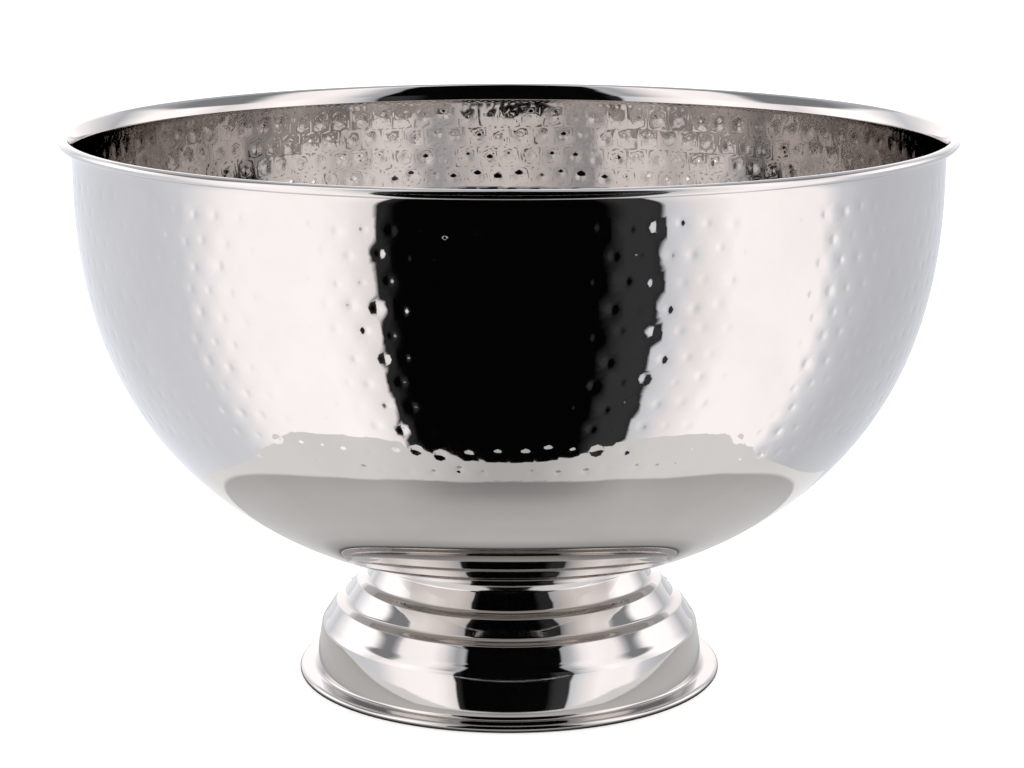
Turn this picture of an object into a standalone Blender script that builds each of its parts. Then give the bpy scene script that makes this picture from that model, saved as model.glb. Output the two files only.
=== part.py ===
"""Punch bowl: a hammered sheet-steel bowl with a wired rim, bolted on a spun bell foot.

Metres, +Z up. The origin is the middle of the ring that the foot rests on. Every piece is
turned about the Z axis, apart from the split of the spring washer and the flats of the nut.
"""

import math

import bmesh
import bpy
from mathutils import Matrix, Vector

MM = 0.001

# Overall sizes
RIM_D = 370.0 * MM  # across the rolled rim
OVERALL_H = 232.8 * MM  # floor to the top of the rim
FOOT_D = 180.1 * MM  # across the foot's flange
SEAT_H = 46.2 * MM  # floor to the flat underside of the bowl

# Bowl
BOWL_SHEET = 0.8 * MM
SEAT_R = 22.0 * MM  # the flat in the middle of the bottom
RIM_OVERHANG = 5.3 * MM  # how far the rim stands out from the wall
LIP_H = 7.4 * MM  # top of the wall to the top of the rim
WIRE_D = 1.8 * MM
SIDE_POWER = 2.122  # how square the wall turns into the bottom, along the radius
DROP_POWER = 2.509  # the same, along the height
CURL_START = math.radians(150)  # where the lip joins its curl, and where the curl ends
CURL_END = math.radians(-105)
LIP_PULL = 1 / 3  # of its height, how far the lip keeps to the wall and to the curl

# Foot
FOOT_SHEET = 0.8 * MM
NECK_R = 56.5 * MM  # the short collar under the bowl
NECK_H = 2.3 * MM
SKIRT_R = 83.0 * MM  # the foot of the steep wall above the flange
SKIRT_LEAN = 2.4 * MM  # how much narrower the skirt is at its top
SKIRT_H = 20.5 * MM  # floor to the top of the skirt
# Corners of the bell, as shares of its spread and of its height: a slope, a ledge, a slope, a
# ledge, and the slope above the haunch.
BELL_CORNERS = ((0.180, 0.733), (0.359, 0.693), (0.571, 0.431), (0.729, 0.383), (0.886, 0.176))
HAUNCH_PULL = 0.35  # of the haunch's length, how far its curve keeps to its two ends
HEM_H = 3.4 * MM  # thickness of the folded edge
HEM_RETURN = 5.5 * MM  # width of the flat that the foot rests on
FILLET_R = 1.5 * MM  # between the skirt and the flange

# Fastening under the bowl
STUD_D = 8.0 * MM
STUD_BASE_D = 11.0 * MM  # the welded pad at the head of the stud
STUD_TAIL = 2.5 * MM  # how far it stands out of the nut
CLAMP_D = 76.0 * MM
CLAMP_T = 1.5 * MM
WASHER_D = 16.0 * MM
WASHER_T = 1.6 * MM
SPRING_D = 14.8 * MM
SPRING_T = 2.0 * MM
SPRING_SPLIT = math.radians(14)
NUT_FLATS = 13.0 * MM
NUT_H = 6.5 * MM
CHAMFER = 0.6 * MM

# Fits
GAP = 0.3 * MM  # between two pieces that touch
HOLE_CLEARANCE = 0.5 * MM  # round the stud and its pad

# Facets
TURN_STEPS = 48
SMALL_STEPS = 24
FACE_STEPS = 12
ARC_STEPS = 4
WIRE_SIDES = 8
SHARP = math.radians(35)

RIM_R = RIM_D / 2
WALL_R = RIM_R - RIM_OVERHANG
WALL_TOP = OVERALL_H - LIP_H
CURL_R = WIRE_D / 2 + GAP  # inside radius of the curl
CURL_CENTRE = (RIM_R - BOWL_SHEET - CURL_R, OVERALL_H - BOWL_SHEET - CURL_R)
STUD_R = STUD_D / 2


def clear_scene():
    for item in list(bpy.data.objects):
        bpy.data.objects.remove(item, do_unlink=True)


def steel(name, colour, roughness):
    """A metal material of one colour."""
    material = bpy.data.materials.new(name)
    material.use_nodes = True
    shader = material.node_tree.nodes["Principled BSDF"]
    shader.inputs["Base Color"].default_value = (*colour, 1.0)
    shader.inputs["Metallic"].default_value = 1.0
    shader.inputs["Roughness"].default_value = roughness
    return material


def turned(name, outline, material, steps=TURN_STEPS, angle=2 * math.pi):
    """An outline of (radius, height) points spun round Z. One that starts and ends on the
    axis is left open there, and any other is closed into a ring."""
    shape = bmesh.new()
    points = [shape.verts.new((r, 0.0, z)) for r, z in outline]
    whole = math.isclose(angle, 2 * math.pi)
    if whole:
        edges = [shape.edges.new(pair) for pair in zip(points, points[1:])]
        if outline[0][0] > 0:
            edges.append(shape.edges.new((points[-1], points[0])))
        geometry = points + edges
    else:
        geometry = [shape.faces.new(points)]
    bmesh.ops.spin(
        shape, geom=geometry, cent=(0, 0, 0), axis=(0, 0, 1), angle=angle, steps=steps, use_merge=whole
    )
    bmesh.ops.remove_doubles(shape, verts=shape.verts, dist=0.001 * MM)
    bmesh.ops.recalc_face_normals(shape, faces=shape.faces)
    return finished(name, shape, material)


def finished(name, shape, material):
    """The object that holds this bmesh."""
    mesh = bpy.data.meshes.new(name)
    shape.to_mesh(mesh)
    shape.free()
    mesh.shade_smooth()
    mesh.set_sharp_from_angle(angle=SHARP)
    mesh.materials.append(material)
    piece = bpy.data.objects.new(name, mesh)
    bpy.context.scene.collection.objects.link(piece)
    return piece


def offset(path, distance):
    """The path moved to its right by this distance, with mitred corners."""
    moved = []
    for i, here in enumerate(path):
        before = Vector(path[max(i - 1, 0)])
        after = Vector(path[min(i + 1, len(path) - 1)])
        sides = [side for side in (Vector(here) - before, after - Vector(here)) if side.length > 0]
        normals = [Vector((side.y, -side.x)).normalized() for side in sides]
        middle = sum(normals, Vector((0, 0))).normalized()
        point = Vector(here) + middle * distance / middle.dot(normals[0])
        moved.append((max(point.x, 0.0), point.y))
    return moved


def sheet(path, thickness):
    """The outline of sheet whose face is this path and which lies on the path's right."""
    return path + offset(path, thickness)[::-1]


def arc(centre, radius, start, end, steps=ARC_STEPS):
    """Points on a circle in the (radius, height) plane, both ends included."""
    turns = [start + (end - start) * i / steps for i in range(steps + 1)]
    return [(centre[0] + radius * math.cos(t), centre[1] + radius * math.sin(t)) for t in turns]


def bend(start, start_pull, end_pull, end, steps=ARC_STEPS):
    """A cubic curve between two points, pulled towards the two between them. Ends left out."""
    corners = [Vector(p) for p in (start, start_pull, end_pull, end)]
    found = []
    for i in range(1, steps):
        t = i / steps
        weights = ((1 - t) ** 3, 3 * t * (1 - t) ** 2, 3 * t * t * (1 - t), t**3)
        point = sum((w * c for w, c in zip(weights, corners)), Vector((0, 0)))
        found.append((point.x, point.y))
    return found


def turn_at(radius):
    """Where on the bowl's quarter turn its outer face has this radius: 0 is the wall's top."""
    return math.acos((radius / WALL_R) ** (SIDE_POWER / 2))


def bowl_point(turn):
    """A point of the bowl's outer face."""
    fall = (WALL_TOP - SEAT_H) / math.sin(turn_at(SEAT_R)) ** (2 / DROP_POWER)
    radius = WALL_R * max(math.cos(turn), 0.0) ** (2 / SIDE_POWER)
    return radius, WALL_TOP - fall * math.sin(turn) ** (2 / DROP_POWER)


def under_bowl(start, end, below, steps=ARC_STEPS):
    """A path outwards from one radius to the other, this far below the bowl's outer face."""
    flat = [(start, SEAT_H), (SEAT_R, SEAT_H)]
    turns = [turn_at(SEAT_R + (end - SEAT_R) * i / steps) for i in range(1, steps + 1)]
    return offset(flat + [bowl_point(turn) for turn in turns], below)


def bowl_outline():
    """From the axis up the inner face, round the curl and down the outer face."""
    first = turn_at(SEAT_R)
    face = [bowl_point(first * (1 - i / FACE_STEPS)) for i in range(FACE_STEPS + 1)]
    curl = arc(CURL_CENTRE, CURL_R, CURL_START, CURL_END, 2 * ARC_STEPS)
    along = Vector((math.sin(CURL_START), -math.cos(CURL_START)))
    pull = LIP_H * LIP_PULL
    lip = bend(face[-1], (WALL_R, WALL_TOP + pull), Vector(curl[0]) - along * pull, curl[0])
    outer = [(0.0, SEAT_H)] + face + lip + curl
    inner = offset(outer, -BOWL_SHEET)
    inner[0] = (0.0, inner[0][1])
    return inner + outer[::-1]


def foot_outline():
    """From the hole under the bowl out over the neck, down the bell and round the hem."""
    hole_r = STUD_BASE_D / 2 + HOLE_CLEARANCE
    top = under_bowl(hole_r, NECK_R, GAP)
    neck_r, neck_top = top[-1]
    neck = (neck_r, neck_top - NECK_H)
    skirt_top = (SKIRT_R - SKIRT_LEAN, SKIRT_H)
    spread, drop = skirt_top[0] - neck_r, neck[1] - SKIRT_H
    bell = [(neck_r + a * spread, SKIRT_H + h * drop) for a, h in BELL_CORNERS]
    skirt_foot = (SKIRT_R, HEM_H + FILLET_R)
    reach = (Vector(skirt_top) - Vector(bell[-1])).length * HAUNCH_PULL
    slope = (Vector(bell[-1]) - Vector(bell[-2])).normalized() * reach
    wall = (Vector(skirt_foot) - Vector(skirt_top)).normalized() * reach
    haunch = bend(bell[-1], Vector(bell[-1]) + slope, Vector(skirt_top) - wall, skirt_top)
    fillet = arc((SKIRT_R + FILLET_R, HEM_H + FILLET_R), FILLET_R, math.pi, 1.5 * math.pi, 4)
    edge_r = HEM_H / 2
    edge = arc((FOOT_D / 2 - edge_r, edge_r), edge_r, math.pi / 2, -math.pi / 2)
    hem = [(FOOT_D / 2 - edge_r - HEM_RETURN, 0.0)]
    face = top + [neck] + bell + haunch + [skirt_top] + fillet + edge + hem
    return sheet(face, FOOT_SHEET)


def ring(inner_r, outer_r, top, height):
    """The outline of a flat ring with its upper face at this height."""
    low = top - height
    return [(inner_r, top), (outer_r, top), (outer_r, low), (inner_r, low)]


def fasten(material):
    """The stack under the bowl, from the stud's pad down to its tail."""
    bore_r = STUD_R + HOLE_CLEARANCE
    clamp_top = GAP + FOOT_SHEET + GAP
    clamp = sheet(under_bowl(bore_r, CLAMP_D / 2, clamp_top), CLAMP_T)
    turned("clamp_disc", clamp, material)
    washer_top = SEAT_H - clamp_top - CLAMP_T - GAP
    washer = ring(bore_r, WASHER_D / 2, washer_top, WASHER_T)
    turned("plain_washer", washer, material, SMALL_STEPS)
    spring_top = washer_top - WASHER_T - GAP
    spring = ring(bore_r, SPRING_D / 2, spring_top, SPRING_T)
    turned("spring_washer", spring, material, SMALL_STEPS, 2 * math.pi - SPRING_SPLIT)
    nut_top = spring_top - SPRING_T - GAP
    nut(nut_top, material)
    tail = nut_top - NUT_H - STUD_TAIL
    head = SEAT_H - GAP
    stud = [
        (0.0, head),
        (STUD_BASE_D / 2, head),
        (STUD_BASE_D / 2, head - FOOT_SHEET),
        (STUD_R, head - FOOT_SHEET),
        (STUD_R, tail + CHAMFER),
        (STUD_R - CHAMFER, tail),
        (0.0, tail),
    ]
    turned("weld_stud", stud, material, SMALL_STEPS)


def nut(top, material):
    """A hexagon with turned corners and a bore that clears the stud by the usual gap."""
    corner_r = NUT_FLATS / 2 / math.cos(math.pi / 6)
    shape = bmesh.new()
    place = Matrix.Translation((0, 0, top - NUT_H))
    bmesh.ops.create_circle(shape, cap_ends=True, segments=6, radius=corner_r, matrix=place)
    raised = bmesh.ops.extrude_face_region(shape, geom=shape.faces[:])["geom"]
    corners = [item for item in raised if isinstance(item, bmesh.types.BMVert)]
    bmesh.ops.translate(shape, verts=corners, vec=(0, 0, NUT_H))
    bmesh.ops.recalc_face_normals(shape, faces=shape.faces)
    piece = finished("hex_nut", shape, material)
    low = top - NUT_H
    blank = [
        (0.0, top + MM),
        (NUT_FLATS / 2, top + MM),
        (NUT_FLATS / 2, top),
        (corner_r + CHAMFER, top - CHAMFER - (corner_r - NUT_FLATS / 2) / 2),
        (corner_r + CHAMFER, low + CHAMFER + (corner_r - NUT_FLATS / 2) / 2),
        (NUT_FLATS / 2, low),
        (NUT_FLATS / 2, low - MM),
        (0.0, low - MM),
    ]
    bore_r = STUD_R + GAP
    bore = [(0.0, top + MM), (bore_r, top + MM), (bore_r, low - MM), (0.0, low - MM)]
    for name, outline, operation in (("nut_blank", blank, "INTERSECT"), ("nut_bore", bore, "DIFFERENCE")):
        cutter = turned(name, outline, material, SMALL_STEPS)
        cutter.hide_render = True
        cutter.display_type = "WIRE"
        cut = piece.modifiers.new(name, "BOOLEAN")
        cut.operation = operation
        cut.object = cutter
    return piece


def wire_outline():
    """The round section of the wire, in the middle of the curl."""
    return arc(CURL_CENTRE, WIRE_D / 2, 0.0, -2 * math.pi, WIRE_SIDES)[:-1]


def main():
    clear_scene()
    polished = steel("polished_steel", (0.78, 0.77, 0.76), 0.08)
    plain = steel("plain_steel", (0.62, 0.62, 0.61), 0.35)
    turned("bowl_shell", bowl_outline(), polished)
    turned("rim_wire", wire_outline(), plain)
    turned("foot_shell", foot_outline(), polished)
    fasten(plain)


if __name__ == "__main__":
    main()
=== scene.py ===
"""Punch bowl of hammered stainless steel on a spun bell foot: the visual model.

Everything is in metres, +Z up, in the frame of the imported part. The two sheets that show, the
bowl and its foot, are turned again here with a fine surface, and the pieces inside them are
turned with their real chamfers and thread.
"""

import logging
import math
from dataclasses import dataclass, field
from enum import Enum
from typing import Callable, Sequence

import bmesh
import bpy
import numpy as np
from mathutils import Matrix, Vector


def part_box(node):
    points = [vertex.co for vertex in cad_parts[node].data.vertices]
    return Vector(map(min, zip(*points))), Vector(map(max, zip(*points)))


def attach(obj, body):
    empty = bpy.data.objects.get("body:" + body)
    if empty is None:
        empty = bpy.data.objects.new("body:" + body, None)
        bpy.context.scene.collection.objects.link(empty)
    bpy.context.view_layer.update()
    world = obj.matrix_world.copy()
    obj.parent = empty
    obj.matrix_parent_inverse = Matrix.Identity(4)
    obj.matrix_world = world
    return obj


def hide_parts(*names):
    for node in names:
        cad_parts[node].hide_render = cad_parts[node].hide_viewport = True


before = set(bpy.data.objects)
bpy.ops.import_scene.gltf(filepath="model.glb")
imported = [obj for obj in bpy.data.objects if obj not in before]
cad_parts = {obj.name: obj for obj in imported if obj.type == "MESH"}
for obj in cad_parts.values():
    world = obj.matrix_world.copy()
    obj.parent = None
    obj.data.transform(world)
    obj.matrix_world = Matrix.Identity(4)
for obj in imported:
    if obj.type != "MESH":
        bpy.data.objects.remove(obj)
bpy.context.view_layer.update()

MM = 0.001
ROOT = "root"
SEED = 421
CIRCLE = 2 * math.pi
WHITE = (1.0, 1.0, 1.0, 1.0)
VECTORS = {"data_type": "VECTOR"}  # a Mix node that doesn't clamp bright light
WELD = 0.0005 * MM  # points closer than this are one point
SHARP_ANGLE = math.radians(38)  # an edge that turns by more than this stays crisp

log = logging.getLogger("punch_bowl")

Point = tuple[float, float]
Stops = tuple[tuple[float, float], ...]
Mesh = bmesh.types.BMesh
Piece = bpy.types.Object
Material = bpy.types.Material
Tree = bpy.types.NodeTree
Socket = bpy.types.NodeSocket


def linear(colour: str) -> tuple[float, float, float]:
    """Turn an sRGB hex colour into linear light.

    Args:
        colour: six hex digits.

    Returns:
        Red, green and blue, each from 0 to 1.
    """
    parts = [int(colour[i : i + 2], 16) / 255 for i in (0, 2, 4)]
    return tuple(c / 12.92 if c <= 0.04045 else ((c + 0.055) / 1.055) ** 2.4 for c in parts)


def add_node(
    tree: Tree,
    kind: str,
    settings: dict | None = None,
    inputs: dict | None = None,
    stops: Sequence[tuple[float, Sequence[float]]] = (),
) -> bpy.types.Node:
    """Add a shader node with its settings, values and links.

    Args:
        tree: the node tree that takes it.
        kind: the node's type, such as ShaderNodeMath.
        settings: properties of the node.
        inputs: for each input's name or index, a value or the output socket that feeds it.
        stops: of a colour ramp, places from 0 to 1, each with its red, green and blue.

    Returns:
        The new node.
    """
    node = tree.nodes.new(kind)
    for name, value in (settings or {}).items():
        setattr(node, name, value)
    for name, value in (inputs or {}).items():
        if isinstance(value, Socket):
            tree.links.new(value, node.inputs[name])
        else:
            node.inputs[name].default_value = value
    if stops:
        elements = node.color_ramp.elements
        while len(elements) < len(stops):
            elements.new(0.5)
        for element, (place, colour) in zip(elements, stops):
            element.position = place
            element.color = (*colour, 1.0)
    return node


# --- outlines in the plane of radius and height ---


def arc(centre: Point, radius: float, start: float, end: float, steps: int) -> list[Point]:
    """Walk along a circle.

    Args:
        centre: radius and height of its middle.
        radius: its own radius.
        start: first angle in degrees, from the outward direction towards up.
        end: last angle in degrees.
        steps: how many chords.

    Returns:
        The points, both ends included.
    """
    turns = [math.radians(start + (end - start) * i / steps) for i in range(steps + 1)]
    return [(centre[0] + radius * math.cos(t), centre[1] + radius * math.sin(t)) for t in turns]


def bend(corners: Sequence[Point], steps: int) -> list[Point]:
    """Walk along a cubic curve.

    Args:
        corners: its start, two pulls and its end.
        steps: how many chords.

    Returns:
        The points between its ends, with the ends left out.
    """
    places = [Vector(c) for c in corners]
    found = []
    for i in range(1, steps):
        t = i / steps
        weights = ((1 - t) ** 3, 3 * t * (1 - t) ** 2, 3 * t * t * (1 - t), t**3)
        found.append(tuple(sum((w * p for w, p in zip(weights, places)), Vector((0, 0)))))
    return found


def normals(path: Sequence[Point]) -> np.ndarray:
    """Find the directions to the right of a path.

    Args:
        path: its points.

    Returns:
        One unit vector for each point, mitred and so longer at a corner.
    """
    line = np.array(path, float)
    runs = np.diff(line, axis=0)
    runs /= np.linalg.norm(runs, axis=1, keepdims=True)
    rights = np.stack([runs[:, 1], -runs[:, 0]], axis=1)
    first = np.vstack([rights[:1], rights])
    second = np.vstack([rights, rights[-1:]])
    middle = first + second
    middle /= np.linalg.norm(middle, axis=1, keepdims=True)
    least = 0.3  # so that a mitre never grows beyond reason
    return middle / np.maximum((middle * first).sum(axis=1, keepdims=True), least)


def walked(path: Sequence[Point]) -> np.ndarray:
    """Measure the length of a path from its start to each of its points.

    Args:
        path: its points.

    Returns:
        One length for each point, 0 at the first.
    """
    return np.concatenate([[0.0], np.cumsum(np.hypot(*np.diff(np.array(path), axis=0).T))])


def to_object(name: str, shape: Mesh, material: Material) -> Piece:
    """Make an object of a finished bmesh.

    Args:
        name: the piece's name.
        shape: the bmesh, which is freed.
        material: its only material.

    Returns:
        The object, at the origin, smooth but for its sharp edges.
    """
    mesh = bpy.data.meshes.new(name)
    shape.to_mesh(mesh)
    shape.free()
    mesh.shade_smooth()
    mesh.set_sharp_from_angle(angle=SHARP_ANGLE)
    mesh.materials.append(material)
    piece = bpy.data.objects.new(name, mesh)
    bpy.context.scene.collection.objects.link(piece)
    return piece


def turned(shape: Mesh, geom: list, steps: int, angle: float = CIRCLE) -> Mesh:
    """Spin part of a bmesh round the Z axis.

    Args:
        shape: the bmesh.
        geom: what is spun.
        steps: how many columns.
        angle: how far round.

    Returns:
        The same bmesh, its doubles merged and its faces pointing out.
    """
    spin = {"cent": (0, 0, 0), "axis": (0, 0, 1), "angle": angle, "use_merge": angle == CIRCLE}
    bmesh.ops.spin(shape, geom=geom, steps=steps, **spin)
    bmesh.ops.remove_doubles(shape, verts=shape.verts, dist=WELD)
    bmesh.ops.recalc_face_normals(shape, faces=shape.faces)
    return shape


def spun(
    outline: Sequence[Point], steps: int, stations: Sequence[float] | None = None, inside: int = 0
) -> Mesh:
    """Turn an outline round the Z axis.

    Args:
        outline: radius and height of its points, clockwise. It is closed here unless it starts
            on the axis.
        steps: how many columns.
        stations: a length for each point, kept in the float layer named station.
        inside: how many of the first points lie on the sheet's inner face, kept as 1 in the layer
            named inside.

    Returns:
        One closed body with its faces pointing out.
    """
    shape = bmesh.new()
    station_layer = shape.verts.layers.float.new("station")
    inside_layer = shape.verts.layers.float.new("inside")
    points = [shape.verts.new((r, 0.0, z)) for r, z in outline]
    for i, (point, station) in enumerate(zip(points, stations or [0.0] * len(points))):
        point[station_layer] = station
        point[inside_layer] = float(i < inside)
    edges = [shape.edges.new(pair) for pair in zip(points, points[1:])]
    if outline[0][0] > 0:
        edges.append(shape.edges.new((points[-1], points[0])))
    return turned(shape, points + edges, steps)


# --- finishes ---


@dataclass(frozen=True)
class BuffedSteel:
    """Stainless sheet, buffed to a mirror while it turns.

    The eye sees a clear, slightly warm reflection that is softened by hairlines round the
    piece and by the haze that buffing leaves in patches. The hairlines are drawn 0.35 mm
    apart, ten times as coarse as real ones, because finer ones wouldn't show.
    """

    name: str
    colour: str = "C6C2BF"
    roughness: float = 0.02
    haze: float = 0.03  # how much rougher the haziest places are
    hazy: Point = (0.12, 0.45)  # from where to where the pattern goes from clear to hazy
    hairline: float = 0.35 * MM
    hairline_depth: float = 0.0003 * MM
    changes: float = 9.0  # how often a hairline changes along its length, per metre
    patch: float = 38 * MM
    tones: Stops = ((0.3, 0.955), (0.55, 1.0), (0.75, 1.02))  # what the patches do to the colour

    def material(self) -> Material:
        """Build the node material.

        Returns:
            The material, which reads Object coordinates and the layer named station.
        """
        made = bpy.data.materials.new(self.name)
        made.use_nodes = True
        tree = made.node_tree
        shader = tree.nodes["Principled BSDF"]
        place = add_node(tree, "ShaderNodeTexCoord").outputs["Object"]
        along = add_node(tree, "ShaderNodeAttribute", {"attribute_name": "station"}).outputs["Fac"]
        split = add_node(tree, "ShaderNodeSeparateXYZ", inputs={"Vector": place})
        values = {0: along, 1: 1 / self.hairline}
        lines = add_node(tree, "ShaderNodeMath", {"operation": "MULTIPLY"}, values)
        folded = {"Z": lines.outputs[0]}
        for axis in ("X", "Y"):
            values = {0: split.outputs[axis], 1: self.changes}
            across = add_node(tree, "ShaderNodeMath", {"operation": "MULTIPLY"}, values)
            folded[axis] = across.outputs[0]
        round_piece = add_node(tree, "ShaderNodeCombineXYZ", inputs=folded)
        noise = {"Scale": 1.0, "Detail": 2.0, "Roughness": 0.6}
        noise["Vector"] = round_piece.outputs[0]
        hairs = add_node(tree, "ShaderNodeTexNoise", inputs=noise)
        noise = {"Scale": 1 / self.patch, "Detail": 4.0, "Roughness": 0.6, "Distortion": 0.4}
        patches = add_node(tree, "ShaderNodeTexNoise", inputs={"Vector": place, **noise})
        both = {0: hairs.outputs["Fac"], 1: patches.outputs["Fac"]}
        mixed = add_node(tree, "ShaderNodeMath", {"operation": "MULTIPLY"}, both)
        hazy = {"Value": mixed.outputs[0], "From Min": self.hazy[0], "From Max": self.hazy[1]}
        hazy |= {"To Min": self.roughness, "To Max": self.roughness + self.haze}
        rough = add_node(tree, "ShaderNodeMapRange", inputs=hazy)
        base = linear(self.colour)
        tones = [(place, [c * tone for c in base]) for place, tone in self.tones]
        fed = {"Fac": patches.outputs["Fac"]}
        tint = add_node(tree, "ShaderNodeValToRGB", inputs=fed, stops=tones)
        raised = {"Height": hairs.outputs["Fac"], "Distance": self.hairline_depth}
        bump = add_node(tree, "ShaderNodeBump", inputs=raised | {"Strength": 1.0})
        tree.links.new(tint.outputs[0], shader.inputs["Base Color"])
        tree.links.new(rough.outputs[0], shader.inputs["Roughness"])
        tree.links.new(bump.outputs[0], shader.inputs["Normal"])
        shader.inputs["Metallic"].default_value = 1.0
        return made


# --- the bowl ---


@dataclass(frozen=True)
class Dent:
    """One blow of the hammer: where it fell, how wide it is and how deep."""

    angle: float
    station: float
    size: float
    depth: float


@dataclass(frozen=True)
class Hammering:
    """Rows of small round dents, struck one beside the other round the wall.

    Each row is half a pitch round from the row above. Every dent has a compact core and a faint
    wide dish round it, where the sheet gave way.
    """

    first: float = 3.2 * MM  # where the first row begins, down from the top of the wall
    rows: int = 11
    pitch: float = 9.6 * MM
    around: int = 108
    size: float = 2.9 * MM  # radius of a core
    sizes: Point = (0.8, 1.15)  # least and most share of it
    depth: float = 0.14 * MM
    depths: Point = (0.5, 1.4)
    dish: float = 7.5 * MM
    dish_depth: float = 0.09 * MM
    stray: float = 0.85 * MM
    stray_most: float = 1.5 * MM
    rings: tuple[float, ...] = (1.0, 0.62, 0.3)  # where a core has its rings of points
    corners: int = 8  # points in each ring
    ripple: float = 0.022 * MM
    ripples: int = 9
    ripple_length: Point = (32 * MM, 75 * MM)
    ripple_r: float = 180 * MM  # the radius at which a length round the bowl is measured
    fade_in: float = 12 * MM
    fade_past: float = 25 * MM  # how far below the last row the ripples end
    fade_out: float = 35 * MM

    @property
    def last(self) -> float:
        """How far down the wall the last row ends."""
        return self.first + self.rows * self.pitch

    def dents(self, girth: Callable[[float], float]) -> dict[tuple[int, int], Dent]:
        """Place every dent.

        Args:
            girth: the wall's radius for a length down from its top.

        Returns:
            The dents by their row and column. Columns are half a dent wide.
        """
        chance = np.random.default_rng(SEED)
        step = math.pi / self.around
        found = {}
        for row in range(self.rows):
            middle = self.first + (row + 0.5) * self.pitch
            for i in range(self.around):
                column = 2 * i + row % 2
                missed = chance.normal(0.0, self.stray, 2)
                across, along = missed.clip(-self.stray_most, self.stray_most)
                found[row, column] = Dent(
                    column * step + across / girth(middle),
                    middle + along,
                    self.size * chance.uniform(*self.sizes),
                    self.depth * chance.uniform(*self.depths),
                )
        return found

    def pushed(self, angles: np.ndarray, stations: np.ndarray, radii: np.ndarray) -> np.ndarray:
        """Add up the dents at each point of the wall.

        Args:
            angles: round the axis, in radians.
            stations: lengths down the wall from its top.
            radii: distances from the axis.

        Returns:
            How far each point is pushed in.
        """
        total = np.zeros(len(angles))
        order = np.argsort(stations)
        downs, girths = stations[order], radii[order]
        for dent in self.dents(lambda down: float(np.interp(down, downs, girths))).values():
            ends = (dent.station - self.dish, dent.station + self.dish)
            low, high = np.searchsorted(downs, ends)
            near = order[low:high]
            away = (angles[near] - dent.angle + math.pi) % CIRCLE - math.pi
            square = (away * radii[near]) ** 2 + (stations[near] - dent.station) ** 2
            core = np.maximum(1 - square / dent.size**2, 0) ** 2
            dish = np.maximum(1 - square / self.dish**2, 0) ** 2
            total[near] += dent.depth * core + self.dish_depth * dent.depth / self.depth * dish
        return total + self.waves(angles, stations)

    def waves(self, angles: np.ndarray, stations: np.ndarray) -> np.ndarray:
        """Add up the long shallow ripples that hammering leaves in the sheet.

        Args:
            angles: round the axis, in radians.
            stations: lengths down the wall from its top.

        Returns:
            How far each point is pushed in, fading out above and below the hammered rows.
        """
        chance = np.random.default_rng(SEED + 1)
        total = np.zeros(len(angles))
        for _ in range(self.ripples):
            length = chance.uniform(*self.ripple_length)
            heading = chance.uniform(0, math.pi)
            lobes = max(1, round(CIRCLE * self.ripple_r * math.cos(heading) / length))
            slant = CIRCLE * math.sin(heading) / length
            total += np.sin(lobes * angles + slant * stations + chance.uniform(0, CIRCLE))
        above = np.clip(stations / self.fade_in, 0, 1)
        below = np.clip((self.last + self.fade_past - stations) / self.fade_out, 0, 1)
        fade = above * below
        return self.ripple * total * fade * fade * (3 - 2 * fade)


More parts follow.
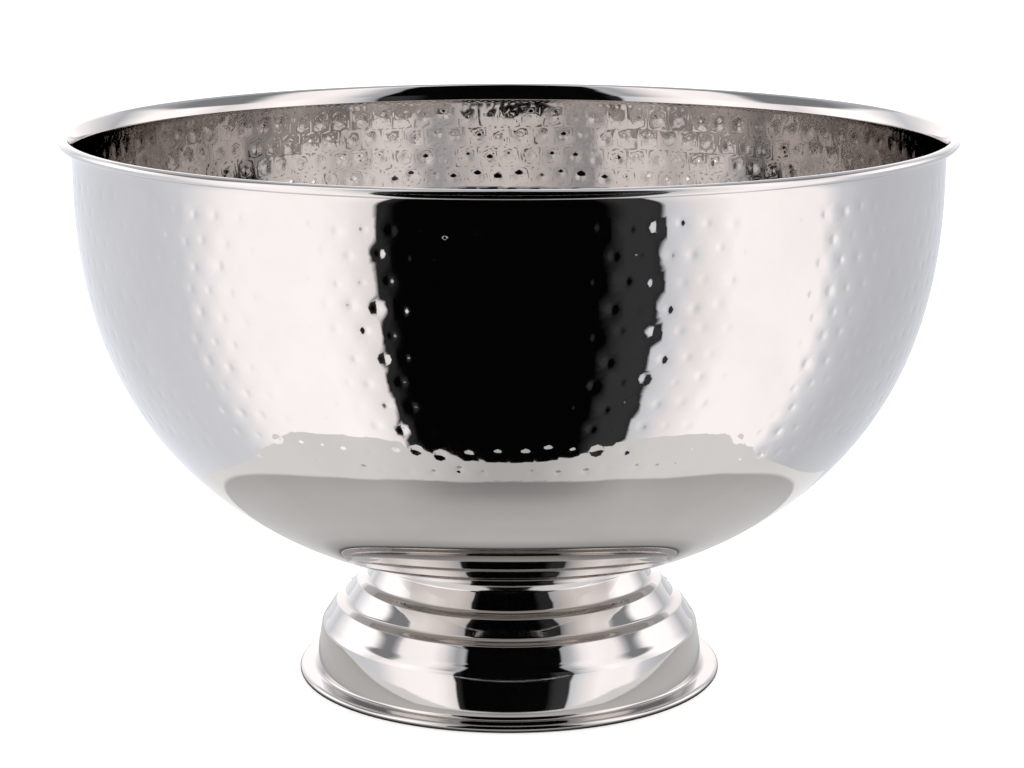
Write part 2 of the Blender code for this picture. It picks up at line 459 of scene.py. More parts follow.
@dataclass
class BowlShell:
    """The bowl: one sheet, hammered on its wall, with its edge rolled over the rim wire."""

    finish: BuffedSteel
    hammering: Hammering = field(default_factory=Hammering)
    sheet: float = 0.8 * MM
    seat_r: float = 22.0 * MM  # the flat in the middle of the floor
    seat_steps: int = 4
    overhang: float = 5.3 * MM
    lip: float = 7.4 * MM  # height of the flare above the wall
    lip_steps: int = 6
    side_power: float = 2.122
    drop_power: float = 2.509
    face_steps: int = 6000
    curl_bore: float = 1.2 * MM
    curl_ends: Point = (150.0, -105.0)  # in degrees
    curl_steps: int = 14
    curl_run: float = 0.5 * MM  # length counted for each step of the lip and the curl
    margin: float = 0.01 * MM  # how far the rim stays inside the part's own size
    rows: Point = (3.0 * MM, 8.0 * MM)  # least and most height of a row below the hammering
    row_growth: float = 0.1
    last_row: float = 4.0 * MM

    def __post_init__(self) -> None:
        """Take the overall sizes from the frame and draw the wall's face."""
        low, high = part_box("bowl_shell")
        self.rim_r = high.x - self.margin
        self.top = high.z - self.margin
        self.seat = low.z
        self.wall_r = self.rim_r - self.overhang
        self.wall_top = self.top - self.lip
        self.curl_centre = (
            self.rim_r - self.sheet - self.curl_bore,
            self.top - self.sheet - self.curl_bore,
        )
        turns = [self.seat_turn * i / self.face_steps for i in range(self.face_steps + 1)]
        self.face = np.array([self.face_point(turn) for turn in turns])
        self.run = walked(self.face)
        self.outward = -normals(self.face)

    @property
    def seat_turn(self) -> float:
        """Where on the wall's quarter turn the flat seat begins."""
        return self.turn_at(self.seat_r)

    def turn_at(self, radius: float) -> float:
        """Find where on the wall's quarter turn the outer face has a radius."""
        return math.acos((radius / self.wall_r) ** (self.side_power / 2))

    def under(self, radius: float, steps: int) -> list[Point]:
        """Walk along the outer face from the seat outwards.

        Args:
            radius: where the walk ends.
            steps: how many chords.

        Returns:
            The points, both ends included.
        """
        start = self.seat_turn
        last = self.turn_at(radius)
        return [self.face_point(start + (last - start) * i / steps) for i in range(steps + 1)]

    def face_point(self, turn: float) -> Point:
        """Find a point of the outer face.

        Args:
            turn: its place on the quarter turn, which is 0 at the top of the wall.

        Returns:
            Its radius and height.
        """
        fall = (self.wall_top - self.seat) / math.sin(self.seat_turn) ** (2 / self.drop_power)
        turn = min(turn, self.seat_turn)
        radius = self.wall_r * math.cos(turn) ** (2 / self.side_power)
        return radius, self.wall_top - fall * math.sin(turn) ** (2 / self.drop_power)

    def at(self, stations: np.ndarray | float) -> tuple[np.ndarray, ...]:
        """Find places on the wall's outer face.

        Args:
            stations: lengths down the wall from its top.

        Returns:
            Their radii and heights, and the radial and upright shares of the outward direction.
        """
        sources = (self.face[:, 0], self.face[:, 1], self.outward[:, 0], self.outward[:, 1])
        return tuple(np.interp(stations, self.run, source) for source in sources)

    def levels(self) -> list[float]:
        """Choose the lengths down the wall at which the mesh has a row of points.

        Returns:
            The lengths, half a pitch apart where the wall is hammered and growing below that.
        """
        hammering = self.hammering
        found = [0.0, hammering.first / 2]
        found += [hammering.first + i * hammering.pitch / 2 for i in range(2 * hammering.rows + 1)]
        end = self.run[-1]
        least, most = self.rows
        while found[-1] < end - self.last_row:
            grown = least + self.row_growth * (found[-1] - hammering.last)
            found.append(found[-1] + min(most, grown))
        return found[:-1] + [end]

    def outline(self) -> tuple[list[Point], list[float], int]:
        """Draw the closed outline of the sheet.

        Returns:
            Its points from the axis up the inner face, round the curl and down the outer face;
            for each its length down the wall, below 0 in the curl; and how many are inside.
        """
        levels = self.levels()
        radii, heights, _, _ = self.at(np.array(levels))
        wall = list(zip(radii, heights))
        curl = arc(self.curl_centre, self.curl_bore, *self.curl_ends, self.curl_steps)
        start = math.radians(self.curl_ends[0])
        pull = self.lip / 3
        join = (curl[0][0] - math.sin(start) * pull, curl[0][1] + math.cos(start) * pull)
        lip = bend([wall[0], (self.wall_r, self.wall_top + pull), join, curl[0]], self.lip_steps)
        count = self.seat_steps
        floor = [(self.seat_r * i / count, self.seat) for i in range(count)]
        outer = floor + wall[::-1] + lip + curl
        inner = np.array(outer) - normals(outer) * self.sheet
        inner[0, 0] = 0.0
        inner[:count, 1] = self.seat + self.sheet
        down = [self.run[-1] + self.seat_r * (count - i) / count for i in range(count)]
        down += levels[::-1]
        down += [-self.curl_run * (i + 1) for i in range(len(lip) + len(curl))]
        return [tuple(p) for p in inner] + outer[::-1], down + down[::-1], len(inner)

    def build(self) -> Piece:
        """Turn the sheet, ring every dent with points and hammer it.

        Returns:
            The finished piece.
        """
        outline, stations, inside = self.outline()
        shape = spun(outline, 2 * self.hammering.around, stations, inside)
        self.strike(shape)
        piece = to_object("hammered_bowl", shape, self.finish.material())
        self.hammer(piece.data)
        return piece

    def strike(self, shape: Mesh) -> None:
        """Turn the four faces round each dent into rings of points that can follow it.

        Args:
            shape: the turned sheet, whose rows are half a pitch apart where it is hammered.
        """
        hammering = self.hammering
        step = math.pi / hammering.around
        close = 0.01  # in pitches
        inset = 0.3 * MM  # only until the points are put in place
        station, inside = (shape.verts.layers.float[name] for name in ("station", "inside"))
        bearing = shape.verts.layers.float.new("bearing")
        middles = []
        for vert in shape.verts:
            vert[bearing] = math.atan2(vert.co.y, vert.co.x)
            level = (vert[station] - hammering.first) / hammering.pitch
            row = math.floor(level)
            if 0 <= row < hammering.rows and abs(level - row - 0.5) < close:
                if (round(vert[bearing] / step) + row) % 2 == 0:
                    middles.append(vert)
        bmesh.ops.dissolve_verts(shape, verts=middles)
        cells = [face for face in shape.faces if len(face.verts) == hammering.corners]
        log.info("bowl: %d dents on both faces", len(cells))
        dents = hammering.dents(lambda down: float(self.at(down)[0]))
        known = []
        for cell in cells:
            middle = cell.calc_center_median()
            column = round(math.atan2(middle.y, middle.x) / step) % (2 * hammering.around)
            down = sum(vert[station] for vert in cell.verts) / hammering.corners
            row = round((down - hammering.first) / hammering.pitch - 0.5)
            round_axis = Vector((-middle.y, middle.x, 0)).normalized()
            low = max(cell.verts, key=lambda vert: vert[station]).co
            high = min(cell.verts, key=lambda vert: vert[station]).co
            downhill = low - high
            downhill = (downhill - round_axis * downhill.dot(round_axis)).normalized()
            known.append((middle, round_axis, downhill, dents[row, column], cell.verts[0][inside]))
        for share in hammering.rings:
            bmesh.ops.inset_individual(shape, faces=cells, thickness=inset)
            for cell, (middle, round_axis, downhill, dent, side) in zip(cells, known):
                radius = float(self.at(dent.station)[0])
                for vert in cell.verts:
                    off = vert.co - middle
                    turn = math.atan2(off.dot(downhill), off.dot(round_axis))
                    reach = share * dent.size
                    vert[station] = dent.station + reach * math.sin(turn)
                    vert[bearing] = dent.angle + reach * math.cos(turn) / radius
                    vert[inside] = side
        poked = bmesh.ops.poke(shape, faces=cells)["verts"]
        for vert, (_, _, _, dent, side) in zip(poked, known):
            vert[station] = dent.station
            vert[bearing] = dent.angle
            vert[inside] = side

    def hammer(self, mesh: bpy.types.Mesh) -> None:
        """Put each point of the wall at its angle and level, and push the dents into both faces.

        Args:
            mesh: the sheet's mesh, with the layers named station, bearing and inside.
        """
        count = len(mesh.vertices)
        places = np.empty(count * 3, np.float32)
        mesh.vertices.foreach_get("co", places)
        places = places.reshape(-1, 3)
        kept = {}
        for name in ("station", "bearing", "inside"):
            kept[name] = np.empty(count, np.float32)
            mesh.attributes[name].data.foreach_get("value", kept[name])
        wall = np.flatnonzero((kept["station"] >= 0) & (kept["station"] <= self.run[-1]))
        stations, angles = (kept[name][wall].astype(float) for name in ("station", "bearing"))
        radii, heights, out_r, out_z = self.at(stations)
        inwards = self.hammering.pushed(angles, stations, radii) + self.sheet * kept["inside"][wall]
        radii = radii - inwards * out_r
        heights = heights - inwards * out_z
        places[wall] = np.stack([radii * np.cos(angles), radii * np.sin(angles), heights], 1)
        mesh.vertices.foreach_set("co", places.ravel())
        mesh.update()


# --- the foot ---


@dataclass
class FootShell:
    """The foot: a spun bell with two stepped rings, a skirt and a flange with a folded edge."""

    finish: BuffedSteel
    bowl: BowlShell
    sheet: float = 0.8 * MM
    gap: float = 0.3 * MM
    hole_r: float = 6.0 * MM
    neck_r: float = 56.5 * MM
    neck_h: float = 2.3 * MM
    skirt_r: float = 83.0 * MM
    skirt_lean: float = 2.4 * MM
    skirt_h: float = 20.5 * MM
    # The corners of the stepped rings, as shares of the way out and up from the skirt to the neck.
    corners: tuple[Point, ...] = (
        (0.180, 0.733), (0.359, 0.693), (0.571, 0.431), (0.729, 0.383), (0.886, 0.176),
    )
    hollow: float = 1.5 * MM  # how far the rounding of a ledge's root reaches
    crisp: float = 0.35 * MM  # the same for the edge of a ledge
    haunch_pull: float = 0.35
    hem_h: float = 3.4 * MM
    hem_return: float = 5.5 * MM
    fillet: float = 1.5 * MM
    columns: int = 256
    haunch_steps: int = 20
    skirt_steps: int = 6
    curve_steps: int = 8
    straight_steps: int = 3

    def outline(self) -> tuple[list[Point], list[float]]:
        """Draw the closed outline of the sheet.

        Returns:
            Its points from the hole down the outer face and back up the inner one, and the length
            along the sheet of each.
        """
        foot_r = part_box("foot_shell")[1].x
        under = [(self.hole_r, self.bowl.seat)] + self.bowl.under(self.neck_r, self.curve_steps)
        top = [tuple(p) for p in np.array(under) + normals(under) * self.gap]
        neck = (top[-1][0], top[-1][1] - self.neck_h)
        skirt_top = (self.skirt_r - self.skirt_lean, self.skirt_h)
        skirt_foot = (self.skirt_r, self.hem_h + self.fillet)
        spread, drop = skirt_top[0] - neck[0], neck[1] - self.skirt_h
        bell = [(neck[0] + a * spread, self.skirt_h + h * drop) for a, h in self.corners]
        reach = (Vector(skirt_top) - Vector(bell[-1])).length * self.haunch_pull
        slope = (Vector(bell[-1]) - Vector(bell[-2])).normalized() * reach
        wall = (Vector(skirt_foot) - Vector(skirt_top)).normalized() * reach
        pulls = (Vector(bell[-1]) + slope, Vector(skirt_top) - wall)
        haunch = bend([bell[-1], *pulls, skirt_top], self.haunch_steps)
        reaches = (self.crisp, self.hollow, self.crisp, self.hollow, self.crisp)
        rings = self.soften([top[-1], neck, *bell], reaches)
        count = self.skirt_steps
        skirt = [tuple(Vector(skirt_top).lerp(Vector(skirt_foot), i / count)) for i in range(count)]
        fillet_at = (self.skirt_r + self.fillet, self.hem_h + self.fillet)
        root = arc(fillet_at, self.fillet, 180, 270, self.curve_steps)
        edge_r = self.hem_h / 2
        edge = arc((foot_r - edge_r, edge_r), edge_r, 90, -90, 2 * self.curve_steps)
        hem = [(foot_r - edge_r - self.hem_return, 0.0)]
        face = top[:-1] + rings + haunch + skirt + root + edge + hem
        inner = np.array(face) + normals(face) * self.sheet
        run = walked(face)
        return face + [tuple(p) for p in inner[::-1]], list(run) + list(run[::-1])

    def soften(self, corners: Sequence[Point], reaches: Sequence[float]) -> list[Point]:
        """Round each corner but the first and last of a run of straights.

        Args:
            corners: the run.
            reaches: for each rounded corner, how far from it the rounding starts and ends.

        Returns:
            The new run, with a few points on each straight.
        """
        places = [Vector(corner) for corner in corners]
        shares = [(i + 1) / self.straight_steps for i in range(self.straight_steps)]
        turns = [(i + 1) / self.curve_steps for i in range(self.curve_steps)]
        found = [places[0]]
        for before, here, after, reach in zip(places, places[1:], places[2:], reaches):
            start = here + (before - here).normalized() * reach
            end = here + (after - here).normalized() * reach
            found += [found[-1].lerp(start, share) for share in shares]
            found += [start * (1 - t) ** 2 + here * 2 * t * (1 - t) + end * t**2 for t in turns]
        found += [found[-1].lerp(places[-1], share) for share in shares]
        return [tuple(place) for place in found]

    def build(self) -> Piece:
        """Turn the foot."""
        outline, stations = self.outline()
        shape = spun(outline, self.columns, stations)
        return to_object("bell_foot", shape, self.finish.material())


# --- the fasteners ---


@dataclass(frozen=True)
class Fitting:
    """A small piece of plain steel."""

    steel: Material


@dataclass(frozen=True)
class Ring(Fitting):
    """A flat turned ring with eased edges, such as a washer."""

    node: str
    bore_r: float
    ease: float
    split: float = 0.0  # in radians
    columns: int = 96
    corner_steps: int = 5

    def build(self) -> Piece:
        """Turn the ring at its node's height, leaving the split open if it has one.

        Returns:
            The finished piece.
        """
        low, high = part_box(self.node)
        ease, steps = self.ease, self.corner_steps
        outer, inner = high.x - ease, self.bore_r + ease
        top, foot = high.z - ease, low.z + ease
        section = arc((outer, top), ease, 90, 0, steps)
        section += arc((outer, foot), ease, 0, -90, steps)
        section += arc((inner, foot), ease, 270, 180, steps)
        section += arc((inner, top), ease, 180, 90, steps)
        if not self.split:
            return to_object(f"{self.node}_turned", spun(section, self.columns), self.steel)
        shape = bmesh.new()
        face = shape.faces.new([shape.verts.new((r, 0.0, z)) for r, z in section])
        turned(shape, [face], self.columns, CIRCLE - self.split)
        return to_object(f"{self.node}_turned", shape, self.steel)


@dataclass(frozen=True)
class ClampDisc(Fitting):
    """The dished disc that spreads the nut's pull under the top of the foot."""

    bowl: BowlShell
    bore_r: float = 4.5 * MM
    below: float = 1.4 * MM  # under the bowl's face
    thickness: float = 1.5 * MM
    ease: float = 0.3 * MM
    rounding: float = 0.3  # share of the ease at which the middle of an eased edge lies
    columns: int = 144
    flat_steps: int = 3
    dish_steps: int = 12

    def build(self) -> Piece:
        """Turn the disc to the shape of the bowl above it.

        Returns:
            The finished piece.
        """
        outer_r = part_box("clamp_disc")[1].x
        bowl = self.bowl
        width = bowl.seat_r - self.bore_r
        shares = [i / self.flat_steps for i in range(self.flat_steps)]
        over = [(self.bore_r + width * share, bowl.seat) for share in shares]
        over += bowl.under(outer_r, self.dish_steps)
        away = normals(over)
        top = np.array(over) + away * self.below
        low = top + away * self.thickness
        ease = self.ease
        section = [tuple(p) for p in top]
        corner, under = Vector(top[-1]), Vector(low[-1])
        side = (under - corner).normalized()
        back = (Vector(top[-2]) - corner).normalized()
        share = ease * self.rounding
        section[-1] = tuple(corner + back * ease)
        section += [tuple(corner + back * share + side * share), tuple(corner + side * ease)]
        section += [tuple(under - side * ease), tuple(under + back * share - side * share)]
        section += [tuple(under + back * ease)] + [tuple(p) for p in low[-2::-1]]
        return to_object("clamp_disc_turned", spun(section, self.columns), self.steel)


@dataclass(frozen=True)
class Stud(Fitting):
    """The welded stud: a flat pad and a threaded shank with a chamfered tail."""

    base_r: float = 5.5 * MM
    shank_r: float = 4.0 * MM
    pad: float = 0.8 * MM
    pad_ease: float = 0.2 * MM
    plain: float = 1.5 * MM  # unthreaded length under the pad
    chamfer: float = 0.6 * MM
    lead: float = 1.25 * MM
    thread_depth: float = 0.55 * MM
    flank: float = 1.3  # how much steeper a flank is than if it had no flats
    crest: float = 0.15
    close: float = 0.01 * MM
    rows: int = 220
    columns: int = 72

    def build(self) -> Piece:
        """Turn the blank and cut its thread by moving the shank's points inwards.

        Returns:
            The finished piece.
        """
        low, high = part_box("weld_stud")
        start, end = high.z - self.pad, low.z
        pad = [
            (0.0, high.z),
            (self.base_r - self.pad_ease, high.z),
            (self.base_r, high.z - self.pad_ease),
            (self.base_r, start),
        ]
        fall = end + self.chamfer - start
        shank = [(self.shank_r, start + fall * i / self.rows) for i in range(self.rows + 1)]
        tail = [(self.shank_r - self.chamfer, end), (0.0, end)]
        shape = spun(pad + shank + tail, self.columns)
        for vert in shape.verts:
            radius = vert.co.xy.length
            if abs(radius - self.shank_r) > self.close or vert.co.z > start - self.plain:
                continue
            turn = math.atan2(vert.co.y, vert.co.x) / CIRCLE
            tooth = abs(((vert.co.z / self.lead - turn) % 1.0) * 2 - 1)
            depth = self.thread_depth * min(max(tooth * self.flank - self.crest, 0.0), 1.0)
            vert.co.xy *= (radius - depth) / radius
        return to_object("threaded_stud", shape, self.steel)


@dataclass(frozen=True)
class Nut(Fitting):
    """A hexagon nut with turned corners on both faces and a countersunk bore."""

    bore_r: float = 4.3 * MM
    sink: float = 0.35 * MM
    flats: float = 13.0 * MM  # width across them
    face: float = 0.96  # the flat face's share of that width
    slope: float = 30.0  # of the turned corners, in degrees
    slope_steps: int = 8
    columns: int = 144

    def build(self) -> Piece:
        """Turn a blank and bring its points in to the six flats.

        Returns:
            The finished piece.
        """
        low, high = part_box("hex_nut")
        middle = (low.z + high.z) / 2
        flat_r = self.flats / 2
        face_r = flat_r * self.face
        width = flat_r / math.cos(math.pi / 6) - face_r
        fall = math.tan(math.radians(self.slope))
        radii = [face_r + width * i / self.slope_steps for i in range(self.slope_steps + 1)]
        top = [(r, high.z - (r - face_r) * fall) for r in radii]
        foot = [(r, low.z + (r - face_r) * fall) for r in radii[::-1]]
        bore = [(self.bore_r + self.sink, low.z), (self.bore_r, low.z + self.sink)]
        bore += [(self.bore_r, high.z - self.sink), (self.bore_r + self.sink, high.z)]
        shape = spun(top + foot + bore, self.columns)
        for vert in shape.verts:
            radius = vert.co.xy.length
            turn = math.atan2(vert.co.y, vert.co.x) % (math.pi / 3) - math.pi / 6
            limit = flat_r / math.cos(turn)
            if radius <= limit:
                continue
            vert.co.xy *= limit / radius
            rise = (radius - limit) * fall
            vert.co.z += rise if vert.co.z > middle else -rise
        return to_object("chamfered_nut", shape, self.steel)


@dataclass(frozen=True)
class RimWire(Fitting):
    """The drawn wire inside the rolled edge."""

    sides: int = 20
    columns: int = 288

    def build(self) -> Piece:
        """Turn the wire's round section.

        Returns:
            The finished piece.
        """
        low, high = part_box("rim_wire")
        radius = (high.z - low.z) / 2
        section = arc((high.x - radius, low.z + radius), radius, 90, -270, self.sides)[:-1]
        return to_object("drawn_wire", spun(section, self.columns), self.steel)


# --- the studio ---


class Side(Enum):
    """The two sides of the studio, by the sign of X."""

    LEFT = -1
    RIGHT = 1


@dataclass
class Studio:
    """A plain pale floor, soft light from all round and the panels that the steel mirrors."""

    distance: float = 1.1106
    height: float = 0.36308
    pitch: float = 12.139  # in degrees
    lens: float = 94.33
    sensor: float = 36.0
    far: float = 100.0
    sideways: float = 0.0012
    # The mirrored surroundings, all by direction in degrees from the front towards +X.
    sky: Stops = (
        (-180, 1.5), (-158, 1.3), (-140, 0.95), (-122, 1.75), (-104, 1.7), (-90, 1.2),
        (-66, 1.7), (-50, 1.5), (-42, 1.25), (-36, 1.05), (-33, 0.95), (-32.6, 0.03),
        (-31, 0.03), (-28, 0.002), (24, 0.002), (29, 0.05), (36, 0.06), (38.8, 0.03),
        (39.2, 0.5), (44, 0.95), (54, 1.35), (65, 1.65), (90, 1.2), (104, 1.7),
        (122, 1.6), (138, 0.75), (158, 1.15), (180, 1.5),
    )
    high: Stops = (
        (-180, 0.75), (-128, 0.7), (-112, 0.34), (-86, 0.32), (-82, 0.75), (-80, 1.28),
        (-76, 1.45), (-57, 1.52), (-48, 1.15), (-39, 0.58), (-33, 0.72), (-31.5, 0.002),
        (38.4, 0.002), (39.2, 0.55), (46, 0.75), (54, 1.3), (62, 1.5), (78, 1.42),
        (82, 1.12), (85, 0.75), (89, 0.34), (112, 0.36), (128, 0.7), (180, 0.75),
    )
    ground: Stops = (
        (-180, 1.0), (-100, 1.0), (-90, 1.05), (-76, 1.42), (-68, 1.5), (-48, 1.52),
        (-42, 1.43), (-37, 1.25), (-33, 1.12), (-32.6, 0.03), (-31, 0.035), (-28, 0.0018),
        (24, 0.0018), (29, 0.05), (36, 0.055), (38.8, 0.025), (39.2, 0.95), (43, 1.08),
        (48, 1.17), (54, 1.33), (59, 1.48), (84, 1.45), (91, 1.05), (98, 0.9),
        (106, 0.82), (180, 0.82),
    )
    lift: Point = (0.43, 0.5)  # the height, up from the horizon, at which the sky turns to high
    lamp_light: float = 1.1  # whatever is at least this bright is a lamp
    lamp_tint: tuple[float, ...] = (1.134, 1.105, 1.121)
    room_tint: tuple[float, ...] = (0.995, 1.035, 1.115)
    # The table: half its width, how far it reaches to the front, its corner radius from the
    # middle, and the point from which the surroundings past its edge are measured.
    table: Point = (0.2, 0.217)
    table_r: float = 0.25
    apex: Point = (-0.003, -0.083)
    # Its light by the distance from the middle of the bowl, in millimetres: at the sides, and in
    # front, where the black wedge leaves it duller. This is painted shade of the bowl over the
    # table, black at the edge of the foot as a painted contact shadow.
    span: float = 300.0
    sides: Stops = (
        (90, 0.0), (93, 0.45), (104, 0.7), (120, 0.75), (160, 0.72), (187, 0.64), (300, 0.64),
    )
    front: Stops = (
        (90, 0.0), (93, 0.45), (104, 0.72), (130, 0.7), (152, 0.6), (170, 0.4), (187, 0.34),
        (300, 0.34),
    )
    # Where the painted shade of the bowl ends and the table's lit outer part begins, and how bright
    # that is in each direction.
    lit_r: Point = (0.187, 0.191)
    lit: Stops = (
        (-180, 0.95), (-60, 1.1), (-34, 1.1), (-20, 0.95), (-5, 0.68), (5, 0.68), (20, 0.95),
        (34, 1.1), (60, 1.1), (180, 0.95),
    )
    # How much of the front there is in each direction.
    frontness: Stops = (
        (-180, 0.0), (-30, 0.0), (-14, 0.8), (-5, 1.0), (5, 1.0), (14, 0.8), (30, 0.0), (180, 0.0),
    )
    card: Point = (0.0895, 6.0)  # inner and outer radius of the mirrored card
    card_lift: float = 0.5 * MM
    card_columns: int = 96
    floor_half: float = 8.0
    floor_colour: str = "F3F3F3"
    floor_glow: float = 0.35
    backdrop: float = 1.4
    box: Point = (0.9, 1.2)
    box_place: tuple[float, float, float] = (1.3, -0.5, 0.9)
    box_aim: tuple[float, float, float] = (0.0, 0.0, 0.1)
    box_watts: float = 2.0

    def camera(self) -> None:
        """Set the camera that looks a little down on the bowl from the front."""
        data = bpy.data.cameras.new("camera")
        data.lens = self.lens
        data.sensor_width = self.sensor
        data.clip_end = self.far
        eye = bpy.data.objects.new("camera", data)
        eye.location = (self.sideways, -self.distance, self.height)
        eye.rotation_euler = (math.radians(90 - self.pitch), 0.0, 0.0)
        bpy.context.scene.collection.objects.link(eye)
        bpy.context.scene.camera = eye

    def surround(self, tree: Tree, place: Socket, lights: Stops, tinted: bool = True) -> Socket:
        """Colour the surroundings by the direction in which they lie.

        Args:
            tree: the node tree to add to.
            place: a vector from the middle of the studio.
            lights: how bright each direction is, in degrees from the front towards +X.
            tinted: whether lamps are a little warm and all else a little cool.

        Returns:
            The colour of the light from there.
        """
        # Once the vector is turned, a radial gradient is 0.5 in front, and 0 and 1 straight behind.
        quarter = {"Vector": place, "Angle": math.pi / 2}
        facing = add_node(tree, "ShaderNodeVectorRotate", {"rotation_type": "Z_AXIS"}, quarter)
        facing = {"Vector": facing.outputs[0]}
        radial = add_node(tree, "ShaderNodeTexGradient", {"gradient_type": "RADIAL"}, facing)
        stops = []
        for degrees, light in lights:
            tint = (1.0, 1.0, 1.0)
            if tinted:
                tint = self.room_tint if light < self.lamp_light else self.lamp_tint
            stops.append((0.5 + degrees / 360, [light * share for share in tint]))
        fed = {"Fac": radial.outputs["Fac"]}
        return add_node(tree, "ShaderNodeValToRGB", inputs=fed, stops=stops).outputs[0]

    def world(self) -> None:
        """Give the world white for the eye and for the floor, and the studio for the steel."""
        world = bpy.data.worlds.new("studio")
        bpy.context.scene.world = world
        world.use_nodes = True
        tree = world.node_tree
        tree.nodes.clear()
        place = add_node(tree, "ShaderNodeTexCoord").outputs["Generated"]
        up = add_node(tree, "ShaderNodeSeparateXYZ", inputs={"Vector": place}).outputs["Z"]
        values = {"Value": up, "From Min": self.lift[0], "From Max": self.lift[1]}
        lift = add_node(tree, "ShaderNodeMapRange", {"interpolation_type": "SMOOTHSTEP"}, values)
        low, high = (self.surround(tree, place, stops) for stops in (self.sky, self.high))
        sky = add_node(tree, "ShaderNodeMix", VECTORS, {0: lift.outputs[0], 4: low, 5: high})
        mirrored = add_node(tree, "ShaderNodeBackground", inputs={"Color": sky.outputs[1]})
        values = {"Color": WHITE, "Strength": self.backdrop}
        plain = add_node(tree, "ShaderNodeBackground", inputs=values)
        path = add_node(tree, "ShaderNodeLightPath")
        seen = {0: path.outputs["Is Glossy Ray"], 1: plain.outputs[0], 2: mirrored.outputs[0]}
        either = add_node(tree, "ShaderNodeMixShader", inputs=seen)
        add_node(tree, "ShaderNodeOutputWorld", inputs={"Surface": either.outputs[0]})

    def floor(self) -> None:
        """Lay the plain pale floor."""
        shape = bmesh.new()
        bmesh.ops.create_grid(shape, x_segments=8, y_segments=8, size=self.floor_half)
        made = bpy.data.materials.new("pale_floor")
        made.use_nodes = True
        shader = made.node_tree.nodes["Principled BSDF"]
        shader.inputs["Base Color"].default_value = (*linear(self.floor_colour), 1.0)
        shader.inputs["Roughness"].default_value = 0.9
        shader.inputs["Specular IOR Level"].default_value = 0.1
        shader.inputs["Emission Color"].default_value = WHITE
        shader.inputs["Emission Strength"].default_value = self.floor_glow
        to_object("floor", shape, made)

    def panels(self) -> None:
        """Lay the mirrored table, with the bowl's shadow painted on it, and the surroundings past
        its edge. Only the steel sees them.
        """
        shape = bmesh.new()
        points = [shape.verts.new((r, 0.0, self.card_lift)) for r in self.card]
        turned(shape, points + [shape.edges.new(points)], self.card_columns)
        made = bpy.data.materials.new("mirrored_surroundings")
        made.use_nodes = True
        tree = made.node_tree
        tree.nodes.clear()
        place = add_node(tree, "ShaderNodeTexCoord").outputs["Object"]
        values = {0: place, 1: (*self.apex, 0.0)}
        moved = add_node(tree, "ShaderNodeVectorMath", {"operation": "SUBTRACT"}, values)
        beyond = self.surround(tree, moved.outputs[0], self.ground)
        length = add_node(tree, "ShaderNodeVectorMath", {"operation": "LENGTH"}, {0: place})
        away = length.outputs["Value"]
        values = {0: away, 1: self.span * MM}
        scaled = add_node(tree, "ShaderNodeMath", {"operation": "DIVIDE"}, values)
        fed = {"Fac": scaled.outputs[0]}
        # painted shade: the table under the bowl, duller than its lit outer part and black at the
        # foot
        painted_table_shade = []
        for lights in (self.sides, self.front):
            stops = [(far / self.span, [light] * 3) for far, light in lights]
            painted_table_shade.append(add_node(tree, "ShaderNodeValToRGB", inputs=fed, stops=stops).outputs[0])
        frontness = self.surround(tree, place, self.frontness, False)
        inner = add_node(tree, "ShaderNodeMix", VECTORS, {0: frontness, 4: painted_table_shade[0], 5: painted_table_shade[1]})
        values = {"Value": away, "From Min": self.lit_r[0], "From Max": self.lit_r[1]}
        lit = add_node(tree, "ShaderNodeMapRange", inputs=values)
        lights = {0: lit.outputs[0], 4: inner.outputs[1]}
        lights[5] = self.surround(tree, place, self.lit, False)
        table = add_node(tree, "ShaderNodeMix", VECTORS, lights)
        lights = {0: self.on_table(tree, place, away), 4: beyond, 5: table.outputs[1]}
        seen = add_node(tree, "ShaderNodeMix", VECTORS, lights)
        glow = add_node(tree, "ShaderNodeEmission", inputs={"Color": seen.outputs[1]})
        add_node(tree, "ShaderNodeOutputMaterial", inputs={"Surface": glow.outputs[0]})
        card = to_object("mirrored_surroundings", shape, made)
        card.visible_camera = False
        card.visible_diffuse = False
        card.visible_shadow = False
        card.visible_transmission = False

    def on_table(self, tree: Tree, place: Socket, away: Socket) -> Socket:
        """Tell the table from what lies past its edge.

        Args:
            tree: the node tree to add to.
            place: a point of the card.
            away: its distance from the middle.

        Returns:
            1 on the table and 0 past its edge.
        """
        split = add_node(tree, "ShaderNodeSeparateXYZ", inputs={"Vector": place})
        side = add_node(tree, "ShaderNodeMath", {"operation": "ABSOLUTE"}, {0: split.outputs["X"]})
        found = 1.0
        for test, value, limit in (
            ("LESS_THAN", side.outputs[0], self.table[0]),
            ("GREATER_THAN", split.outputs["Y"], -self.table[1]),
            ("LESS_THAN", away, self.table_r),
        ):
            passed = add_node(tree, "ShaderNodeMath", {"operation": test}, {0: value, 1: limit})
            both = {0: found, 1: passed.outputs[0]}
            found = add_node(tree, "ShaderNodeMath", {"operation": "MULTIPLY"}, both).outputs[0]
        return found

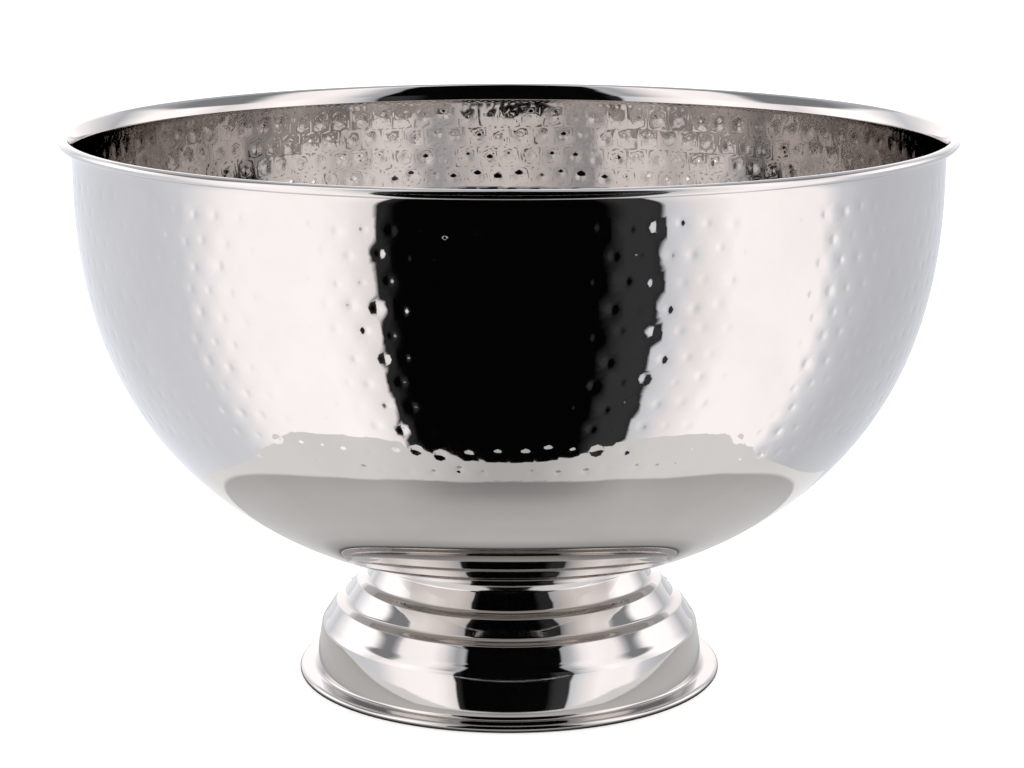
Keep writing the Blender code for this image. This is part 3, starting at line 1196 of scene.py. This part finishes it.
    def lights(self) -> None:
        """Hang one soft light on each side, for the shade under the bowl."""
        for side in Side:
            data = bpy.data.lights.new(f"softbox_{side.name.lower()}", "AREA")
            data.shape = "RECTANGLE"
            data.size, data.size_y = self.box
            data.energy = self.box_watts
            lamp = bpy.data.objects.new(data.name, data)
            out, back, up = self.box_place
            lamp.location = (side.value * out, back, up)
            aim = Vector(self.box_aim) - lamp.location
            lamp.rotation_euler = aim.to_track_quat("-Z", "Y").to_euler()
            lamp.visible_glossy = False
            bpy.context.scene.collection.objects.link(lamp)

    def build(self) -> None:
        """Set up the whole studio."""
        self.camera()
        self.world()
        self.floor()
        self.panels()
        self.lights()
        bpy.context.scene.view_settings.view_transform = "Standard"


def place(piece: Piece, node: str, slot: str) -> None:
    """Hang a finished piece on the frame in place of a CAD node.

    Args:
        piece: the finished object.
        node: the CAD node it stands for.
        slot: the record's material slot; not used.
    """
    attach(piece, ROOT)
    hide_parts(node)
    log.info("%s stands for %s: %d faces", piece.name, node, len(piece.data.polygons))


def main() -> None:
    """Build the bowl, its foot, the fasteners and the studio, in that order."""
    logging.basicConfig(level=logging.INFO, format="%(name)s: %(message)s")
    bowl = BowlShell(BuffedSteel("hammered_steel"))
    place(bowl.build(), "bowl_shell", "hammered_steel")
    foot = FootShell(BuffedSteel("polished_steel"), bowl)
    place(foot.build(), "foot_shell", "polished_steel")
    plain = BuffedSteel("plain_steel", colour="B9B6B2", roughness=0.3, haze=0.12).material()
    place(RimWire(plain).build(), "rim_wire", "plain_steel")
    place(Stud(plain).build(), "weld_stud", "plain_steel")
    place(ClampDisc(plain, bowl).build(), "clamp_disc", "plain_steel")
    washer = Ring(plain, "plain_washer", bore_r=4.5 * MM, ease=0.2 * MM)
    place(washer.build(), "plain_washer", "plain_steel")
    spring = Ring(plain, "spring_washer", bore_r=4.5 * MM, ease=0.25 * MM, split=math.radians(14))
    place(spring.build(), "spring_washer", "plain_steel")
    place(Nut(plain).build(), "hex_nut", "plain_steel")
    Studio().build()


if __name__ == "__main__":
    main()
